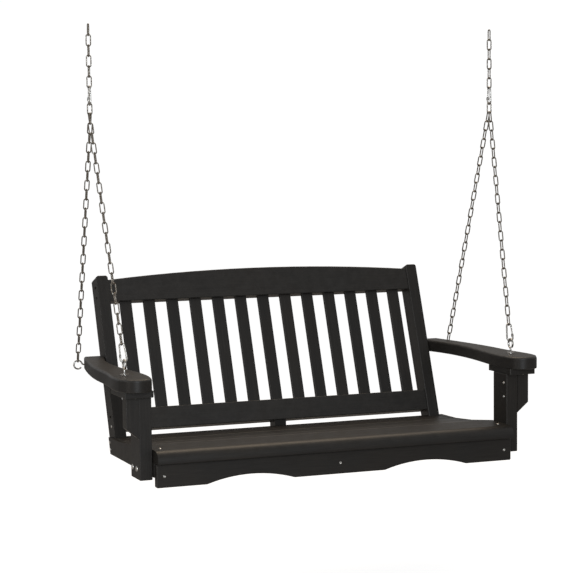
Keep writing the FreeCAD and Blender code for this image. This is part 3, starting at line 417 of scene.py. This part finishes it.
# %% The steel materials
def steel_material(name, pale_tone, dull_tone, oxide_tone, oxide_from, roughness, scale):
    """Zinc-coated steel: crystals vary the tone, and oxide shows through in spots.

    oxide_from is the noise level where oxide starts, so a larger number gives
    less of it. scale is the number of spots in a metre.
    """
    material, graph, shader = blank_material(name)
    spot = add_node(graph, "ShaderNodeTexCoord").outputs["Object"]
    crystal = add_node(graph, "ShaderNodeTexVoronoi", Vector=spot, Scale=scale * 2.2
                       ).outputs["Color"]
    grey = add_node(graph, "ShaderNodeSeparateColor", Color=crystal).outputs["Red"]
    tone = add_ramp(graph, grey, [(0.0, dull_tone), (1.0, pale_tone)])
    spots = add_node(graph, "ShaderNodeTexNoise", Vector=spot, Scale=scale, Detail=5.0,
                     Roughness=0.68).outputs["Fac"]
    oxide = add_ramp(graph, spots, [(oxide_from, 0.0), (oxide_from + 0.14, 1.0)])
    colour = add_node(graph, "ShaderNodeMix", {"data_type": "RGBA"},
                      n0=oxide, n6=tone, n7=(*oxide_tone, 1)).outputs[2]
    graph.links.new(colour, shader.inputs["Base Color"])
    metal = add_node(graph, "ShaderNodeMath", {"operation": "MULTIPLY_ADD"},
                     n0=oxide, n1=-0.55, n2=1.0).outputs["Value"]
    graph.links.new(metal, shader.inputs["Metallic"])
    rough = add_node(graph, "ShaderNodeMath", {"operation": "MULTIPLY_ADD"},
                     n0=oxide, n1=0.30, n2=roughness).outputs["Value"]
    rough = add_node(graph, "ShaderNodeMath", {"operation": "MULTIPLY_ADD"},
                     n0=grey, n1=0.10, n2=rough).outputs["Value"]
    graph.links.new(rough, shader.inputs["Roughness"])
    pits = add_node(graph, "ShaderNodeBump", Strength=0.35, Distance=0.00012, Height=spots)
    graph.links.new(pits.outputs["Normal"], shader.inputs["Normal"])
    return material


chain_steel = steel_material("chain steel", (0.50, 0.47, 0.42), (0.28, 0.26, 0.23),
                             (0.11, 0.075, 0.045), 0.46, 0.22, 260.0)
fitting_steel = steel_material("fitting steel", (0.72, 0.70, 0.66), (0.52, 0.50, 0.47),
                               (0.22, 0.15, 0.09), 0.60, 0.22, 200.0)
screw_steel = steel_material("screw steel", (0.78, 0.76, 0.72), (0.60, 0.58, 0.55),
                             (0.25, 0.18, 0.11), 0.66, 0.24, 420.0)
coated_steel = steel_material("coated screw", (0.030, 0.027, 0.024), (0.020, 0.018, 0.016),
                              (0.05, 0.045, 0.04), 0.62, 0.40, 420.0)
steel_of = {"chain": chain_steel, "fittings": fitting_steel, "screws": screw_steel}
for node, slot in slot_of.items():
    if slot != "lumber":
        wear_material(node, steel_of[slot])
print("steel on", sum(slot != "lumber" for slot in slot_of.values()), "nodes")

# %% [markdown]
# ## Finding each small piece inside its node
#
# A chain is one CAD node with many links in it, and the screws are one node
# with many screws. To make a better link we must know where each one lies.
# Triangles that share corners belong together, so every corner starts with
# its own number, and each pass hands the smaller number across every edge.
# When nothing changes any more, all corners of one link share one number.
# The corners are welded first, by rounding their places to a hundredth of a
# millimetre, because the CAD mesh is loose triangles.

# %% Split a node into its separate solids
def solids_of(node):
    """Arrays of corner places, one array for each separate solid of a node."""
    mesh = nodes[node].data
    count = len(mesh.vertices)
    places = np.empty(count * 3)
    mesh.vertices.foreach_get("co", places)
    places = places.reshape(-1, 3)
    edges = np.empty(len(mesh.edges) * 2, dtype=np.int64)
    mesh.edges.foreach_get("vertices", edges)
    _, welded = np.unique(np.round(places * 1e5).astype(np.int64), axis=0, return_inverse=True)
    welded = welded.reshape(-1)
    pairs = welded[edges].reshape(-1, 2)
    label = np.arange(welded.max() + 1)
    while True:
        before = label.copy()
        lowest = np.minimum(label[pairs[:, 0]], label[pairs[:, 1]])
        np.minimum.at(label, pairs[:, 0], lowest)
        np.minimum.at(label, pairs[:, 1], lowest)
        label = label[label]
        if np.array_equal(before, label):
            break
    owner = label[welded]
    return [places[owner == name] for name in np.unique(owner)]


print("front chain, right:", len(solids_of("front_chain_right")), "links")

# %% [markdown]
# ## One tube along one path
#
# Chain links, eye bolts and hooks are all wire bent along a path, so one
# helper serves them all. It takes the points of the path, a direction that
# is square to the plane of the bend, and the radius at each point around the
# wire. At every point the wire's round section is drawn in the plane across
# the path. The direction square to the bend is one axis of that plane, and
# the other axis is its cross product with the path, which is simple and never
# twists, because these wires are all bent in one plane.

# %% Carry a round section along a path
def tube_grid(path, square, radius, around, closed):
    """Corners of a tube and its faces.

    path is an n by 3 array, square a unit vector square to the bend, radius
    an n by around array. A closed path joins its end to its start; an open
    one is left without faces across its ends.
    """
    count = len(path)
    ahead = np.roll(path, -1, axis=0)
    behind = np.roll(path, 1, axis=0)
    if not closed:
        ahead[-1] = path[-1]
        behind[0] = path[0]
    along = ahead - behind
    along /= np.linalg.norm(along, axis=1, keepdims=True)
    square = np.broadcast_to(np.asarray(square, dtype=float), path.shape)
    side = np.cross(square, along)
    side /= np.linalg.norm(side, axis=1, keepdims=True)
    turn = np.arange(around) * 2 * np.pi / around
    ring = (side[:, None, :] * np.cos(turn)[None, :, None]
            + square[:, None, :] * np.sin(turn)[None, :, None])
    corners = path[:, None, :] + ring * radius[:, :, None]
    rows = np.arange(count if closed else count - 1)
    here = rows[:, None] * around + np.arange(around)[None, :]
    beside = rows[:, None] * around + (np.arange(around)[None, :] + 1) % around
    step = around
    total = count * around
    faces = np.stack([here, beside, (beside + step) % total, (here + step) % total], axis=-1)
    return corners.reshape(-1, 3), faces.reshape(-1, 4)


def lathe_grid(profile, around):
    """Corners and faces of a shape turned about the Z axis.

    profile is an n by 2 array of radius and height, from the first pole to
    the last. Each row of the grid is one ring of the turned shape.
    """
    turn = np.arange(around) * 2 * np.pi / around
    corners = np.stack([profile[:, 0:1] * np.cos(turn), profile[:, 0:1] * np.sin(turn),
                        np.broadcast_to(profile[:, 1:2], (len(profile), around))], axis=-1)
    rows = np.arange(len(profile) - 1)
    here = rows[:, None] * around + np.arange(around)[None, :]
    beside = rows[:, None] * around + (np.arange(around)[None, :] + 1) % around
    faces = np.stack([here, beside, beside + around, here + around], axis=-1)
    return corners.reshape(-1, 3), faces.reshape(-1, 4)


def build_piece(name, parts, node, smooth_under=40.0, coated=()):
    """One mesh object from a list of (corners, faces), standing for a CAD node.

    The faces of each part are turned to point outwards, poles are merged,
    and the object rides on the node's body and takes its slot. coated lists
    the parts that wear the dark coating instead of bare steel.
    """
    corners = np.concatenate([part[0] for part in parts])
    starts = np.cumsum([0] + [len(part[0]) for part in parts[:-1]])
    faces = []
    finish = []
    for number, (start, part) in enumerate(zip(starts, parts)):
        before = len(faces)
        faces += [tuple(face) for face in (np.asarray(part[1]) + start).tolist()]
        faces += [tuple(index + start for index in cap) for cap in part[2:]]
        finish += [int(number in coated)] * (len(faces) - before)
    mesh = bpy.data.meshes.new(name)
    mesh.from_pydata(corners.tolist(), [], faces)
    mesh.polygons.foreach_set("material_index", finish)
    work = bmesh.new()
    work.from_mesh(mesh)
    bmesh.ops.remove_doubles(work, verts=work.verts, dist=2e-6)
    bmesh.ops.dissolve_degenerate(work, edges=work.edges, dist=1e-7)
    bmesh.ops.recalc_face_normals(work, faces=work.faces)
    work.to_mesh(mesh)
    work.free()
    mesh.shade_smooth()
    mesh.set_sharp_from_angle(angle=math.radians(smooth_under))
    piece = bpy.data.objects.new(name, mesh)
    scene.collection.objects.link(piece)
    mesh.materials.append(steel_of[slot_of[node]])
    if coated:
        mesh.materials.append(coated_steel)
    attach(piece, body_of[node])
    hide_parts(node)
    return piece


# %% [markdown]
# ## The chain links
#
# A link is a length of wire bent into a long loop, with its ends butted
# together in the middle of one long side and welded. The weld squeezes up a
# small collar. The path is two straight sides joined by two half circles. It
# is laid out by length: a point's distance along the loop says whether it is
# on a side or on a bend. The collar is a small bump in the wire's radius
# around the weld.
#
# Each new link takes its place from the CAD link it stands for: the middle of
# its box, the direction of the run it belongs to, and whether it lies flat or
# on edge.

# %% Make the chains
def loop_path(half_side, bend, count):
    """A long loop in the XZ plane, even steps along its length.

    Going round from the middle of the side at +X: up the side, over the top
    bend, down the other side, round the foot and back up. half_side is half
    the straight length and bend the radius at the wire's middle.
    """
    straight = 2 * half_side
    arc = math.pi * bend
    total = 2 * straight + 2 * arc
    s = (np.arange(count) + 0.5) * total / count
    marks = np.cumsum([half_side, arc, straight, arc, half_side])
    x = np.empty(count)
    z = np.empty(count)
    up_side = s < marks[0]
    x[up_side], z[up_side] = bend, s[up_side]
    top = (s >= marks[0]) & (s < marks[1])
    angle = (s[top] - marks[0]) / bend
    x[top], z[top] = bend * np.cos(angle), half_side + bend * np.sin(angle)
    down = (s >= marks[1]) & (s < marks[2])
    x[down], z[down] = -bend, half_side - (s[down] - marks[1])
    foot = (s >= marks[2]) & (s < marks[3])
    angle = math.pi + (s[foot] - marks[2]) / bend
    x[foot], z[foot] = bend * np.cos(angle), -half_side + bend * np.sin(angle)
    last = s >= marks[3]
    x[last], z[last] = bend, -half_side + (s[last] - marks[3])
    from_weld = np.minimum(s, total - s)
    return np.stack([x, np.zeros(count), z], axis=1), from_weld


LINK_STEPS = 44
LINK_AROUND = 10
COLLAR_RISE = 0.10
COLLAR_SPREAD = 0.9


def link_shape(length, width, wire):
    """A welded link in the XZ plane, as corners and faces.

    length and width are outside sizes and wire the radius. The collar adds a
    tenth of the radius, falling off as a bell curve about a wire's radius wide.
    """
    bend = width / 2 - wire
    path, from_weld = loop_path(length / 2 - width / 2, bend, LINK_STEPS)
    collar = 1 + COLLAR_RISE * np.exp(-(from_weld / (wire * COLLAR_SPREAD)) ** 2)
    radius = np.broadcast_to((wire * collar)[:, None], (LINK_STEPS, LINK_AROUND))
    return tube_grid(path, (0, 1, 0), radius, LINK_AROUND, True)


def chain_like(node):
    """Welded links in the places of a chain node's plain ones."""
    solids = solids_of(node)
    middles = np.array([(points.max(axis=0) + points.min(axis=0)) / 2 for points in solids])
    if len(middles) > 1:
        order = np.argsort(middles[:, 2])
        along = middles[order[-1]] - middles[order[0]]
    else:
        along = np.array([0.0, 0.0, 1.0])
    along = along / np.linalg.norm(along)
    across = np.array([1.0, 0, 0]) - along * along[0]
    across /= np.linalg.norm(across)
    depth = np.cross(along, across)
    links = []
    for points, middle in zip(solids, middles):
        sizes = [np.ptp(points @ axis) for axis in (across, depth, along)]
        lies_across = sizes[0] > sizes[1]
        width, thick = max(sizes[:2]), min(sizes[:2])
        wide_axis, thin_axis = (across, depth) if lies_across else (depth, across)
        centre = sum(axis * (np.max(points @ axis) + np.min(points @ axis)) / 2
                     for axis in (across, depth, along))
        corners, faces = link_shape(sizes[2], width, thick / 2)
        placed = (corners[:, 0:1] * wide_axis + corners[:, 1:2] * thin_axis
                  + corners[:, 2:3] * along + centre)
        links.append((placed, faces))
    return links


link_total = 0
for side in ("right", "left"):
    for chain in ("front_chain", "rear_chain", "upper_chain", "top_link"):
        node = chain + "_" + side
        links = chain_like(node)
        link_total += len(links)
        build_piece("welded_" + node, links, node, 60.0)
print(link_total, "welded links")

# %% [markdown]
# ## Screws and bolts
#
# The boards are held by pan-head screws of bright steel. What shows is the
# head: a low dome with a cross cut into it for the driver. The dome is a grid
# of rings, and the cross is pressed into it by lowering each point that falls
# inside either bar of the cross, so the recess is part of the same surface.
# The bars fade over a short distance, as a worn recess does.
#
# The screws that hold the two rails of the back are coated dark, to match the
# boards, and the others are bare.
#
# A carriage bolt has the same dome without a cross. Under the head both have
# a shank that the boards hide, so it is a plain turned one with a point.

# %% Make the screws
DOME_POWER = 2.6
DOME_ROUND = 0.62
BAR_HALF = 0.14
BAR_REACH = 0.56
BAR_FADE = 0.16
RECESS_DEPTH = 0.62
HEAD_SEAT = 0.0002
POINT_FROM = 0.86


def fastener_shape(head_radius, head_height, shank_radius, length, recess, around=32):
    """A screw about Z, head up, the seat of the head at zero height.

    The dome's height is head_height times one less the share of the radius to
    the power DOME_POWER, all to the power DOME_ROUND. The recess depth falls
    from full to none across the edges of two crossed bars.
    """
    share = np.array([0.0, 0.1, 0.2, 0.3, 0.4, 0.52, 0.65, 0.78, 0.88, 0.95, 1.0])
    height = head_height * (1 - share ** DOME_POWER) ** DOME_ROUND
    profile = [(head_radius * a, b) for a, b in zip(share, height)]
    profile += [(head_radius, -HEAD_SEAT), (shank_radius, -HEAD_SEAT),
                (shank_radius, -length * POINT_FROM), (0.0, -length)]
    corners, faces = lathe_grid(np.array(profile), around)
    if recess:
        dome = slice(0, len(share) * around)
        x, y = corners[dome, 0], corners[dome, 1]
        bar = head_radius * BAR_HALF
        reach = head_radius * BAR_REACH
        distance = np.minimum(np.maximum(np.abs(x) - bar, np.abs(y) - reach),
                              np.maximum(np.abs(y) - bar, np.abs(x) - reach))
        depth = np.clip(0.5 - distance / (head_radius * BAR_FADE), 0, 1)
        corners[dome, 2] -= depth * head_height * RECESS_DEPTH
    return corners, faces


def fasteners_like(node, recess):
    """Detailed screws or bolts in the places of a node's plain ones."""
    shapes = []
    for points in solids_of(node):
        points = np.unique(np.round(points, 6), axis=0)
        _, _, axes = np.linalg.svd(points - points.mean(axis=0), full_matrices=False)
        axis = axes[0]
        reach = (points - points.mean(axis=0)) @ axis
        spread = np.linalg.norm(points - points.mean(axis=0) - reach[:, None] * axis, axis=1)
        if spread[reach > reach.max() / 2].max() < spread[reach < reach.min() / 2].max():
            axis, reach = -axis, -reach
        tip = points[reach < reach.min() + 0.0002].mean(axis=0)
        rim = points[spread > spread.max() - 0.0003].mean(axis=0)
        axis = (rim - tip) / np.linalg.norm(rim - tip)
        along = (points - tip) @ axis
        radial = np.linalg.norm(points - tip - along[:, None] * axis, axis=1)
        head_radius = radial.max()
        seat = along[radial > head_radius * 0.98].min()
        head_height = along.max() - seat
        shank = np.median(radial[along < seat * 0.5]) if np.any(along < seat * 0.5) else 0.002
        corners, faces = fastener_shape(head_radius, head_height, shank, seat, recess)
        helper = np.array([0.0, 0.0, 1.0]) if abs(axis[2]) < 0.9 else np.array([1.0, 0.0, 0.0])
        first = np.cross(helper, axis)
        first /= np.linalg.norm(first)
        second = np.cross(axis, first)
        spin = marks.uniform(0, math.pi / 2)
        one = first * math.cos(spin) + second * math.sin(spin)
        two = np.cross(axis, one)
        seat_point = tip + axis * seat
        placed = (corners[:, 0:1] * one + corners[:, 1:2] * two + corners[:, 2:3] * axis
                  + seat_point)
        shapes.append((placed, faces))
    return shapes


rail_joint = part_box("back_post_right")[1].x
above_seat = seat_height + 0.01
HEAD_ALLOWANCE = 0.006
for node, recess in (("apron_screws", True), ("seat_screws", True), ("frame_screws", True),
                     ("post_bolts", False)):
    shapes = fasteners_like(node, recess)
    coated = [number for number, (corners, _) in enumerate(shapes)
              if abs(np.abs(corners[:, 0]).max() - rail_joint) < HEAD_ALLOWANCE
              and corners[:, 2].min() > above_seat]
    build_piece("headed_" + node, shapes, node, 50.0, coated)
    print(node + ":", len(shapes), "of which coated", len(coated))

# %% [markdown]
# ## Eye bolts and screw eyes
#
# Both are a straight rod with its end bent round into a ring. The rod does not
# meet the ring head on: it first leans out to one side in a short bend, and
# then turns the other way round the ring until its end nearly closes on the
# neck. So the path has three parts: the straight shank, a small bend, and the
# ring. The small bend's circle touches the shank's line and touches the ring
# from outside, and Pythagoras gives where it starts.
#
# The thread is in the radius. Going along the shank, the radius rises and
# falls once for each turn, and adding the angle around the wire to that wave
# makes it climb as a helix.

# %% Make the eye bolts and screw eyes
PITCH_STEPS = 6
ROD_AROUND = 16
RING_STEPS = 44
NECK_STEPS = 8
NECK_LEAN = 0.45
THREAD_DEPTH = 0.07
THREAD_FADE = 30
END_TAPER = 0.72


def eye_shape(wire, ring, shank_length, thread_from, thread_pitch, open_angle):
    """A ringed bolt in its own plane: shank along +X into a ring at the origin.

    ring is the radius at the wire's middle. The thread covers the shank from
    its end up to thread_from of its length. open_angle is what the ring
    leaves open before its end meets the neck. Returns corners, faces, caps.
    """
    lean = ring * NECK_LEAN
    start = -math.sqrt(ring ** 2 + 2 * ring * lean)
    rows = int(shank_length / thread_pitch * PITCH_STEPS)
    straight = np.linspace(-shank_length, start, rows, endpoint=False)
    shank = np.stack([straight, np.zeros(rows)], axis=1)
    touch = math.pi - math.atan2(lean, -start)
    small_turn = np.linspace(-math.pi / 2, touch - math.pi, NECK_STEPS, endpoint=False)
    bend = np.stack([start + lean * np.cos(small_turn), lean + lean * np.sin(small_turn)], axis=1)
    round_turn = np.linspace(touch, open_angle - math.pi, RING_STEPS)
    loop = np.stack([ring * np.cos(round_turn), ring * np.sin(round_turn)], axis=1)
    flat = np.concatenate([shank, bend, loop])
    path = np.stack([flat[:, 0], np.zeros(len(flat)), flat[:, 1]], axis=1)
    turn = np.arange(ROD_AROUND) * 2 * np.pi / ROD_AROUND
    threaded = np.zeros(len(path))
    share_along = (straight + shank_length) / shank_length
    threaded[:rows] = np.clip((thread_from - share_along) * THREAD_FADE, 0, 1)
    wave = np.cos(2 * np.pi * path[:, 0:1] / thread_pitch + turn[None, :])
    radius = wire * (1 - threaded[:, None] * THREAD_DEPTH * (1 + wave))
    radius[-1] *= END_TAPER
    corners, faces = tube_grid(path, (0, 1, 0), radius, ROD_AROUND, False)
    foot_cap = tuple(range(ROD_AROUND))
    end_cap = tuple(range((len(path) - 1) * ROD_AROUND, len(path) * ROD_AROUND))
    return corners, faces, foot_cap, end_cap


EYE_BOLT_THREAD = 0.62
EYE_BOLT_PITCH = 0.0018
EYE_BOLT_GAP = math.radians(34)
SCREW_EYE_THREAD = 0.60
SCREW_EYE_PITCH = 0.0022
SCREW_EYE_GAP = math.radians(40)

eye_bolt_parts = []
for solid in solids_of("eye_bolts"):
    low, high = solid.min(axis=0), solid.max(axis=0)
    wire = (high[0] - low[0]) / 2
    ring = (high[1] - low[1]) / 2 - wire
    centre = np.array([(low[0] + high[0]) / 2, (low[1] + high[1]) / 2, high[2] - ring - wire])
    corners, faces, *caps = eye_shape(wire, ring, centre[2] - low[2], EYE_BOLT_THREAD,
                                      EYE_BOLT_PITCH, EYE_BOLT_GAP)
    upright = np.stack([corners[:, 1], corners[:, 2], corners[:, 0]], axis=1) + centre
    eye_bolt_parts.append((upright, faces, *caps))
build_piece("bent_eye_bolts", eye_bolt_parts, "eye_bolts", 60.0)
print("eye bolts:", len(eye_bolt_parts), "with rings of", round(ring * 1000, 1), "mm")

screw_eye_parts = []
for solid in solids_of("screw_eyes"):
    low, high = solid.min(axis=0), solid.max(axis=0)
    outwards = 1.0 if low[0] + high[0] > 0 else -1.0
    wire = (high[1] - low[1]) / 2
    ring = (high[2] - low[2]) / 2 - wire
    outer, inner = (high[0], low[0]) if outwards > 0 else (low[0], high[0])
    centre = np.array([outer - outwards * (ring + wire), (low[1] + high[1]) / 2,
                       (low[2] + high[2]) / 2])
    corners, faces, *caps = eye_shape(wire, ring, abs(centre[0] - inner), SCREW_EYE_THREAD,
                                      SCREW_EYE_PITCH, SCREW_EYE_GAP)
    lying = np.stack([corners[:, 0] * outwards, corners[:, 1], corners[:, 2]], axis=1) + centre
    screw_eye_parts.append((lying, faces, *caps))
build_piece("bent_screw_eyes", screw_eye_parts, "screw_eyes", 60.0)
print("screw eyes:", len(screw_eye_parts), "with rings of", round(ring * 1000, 1), "mm")
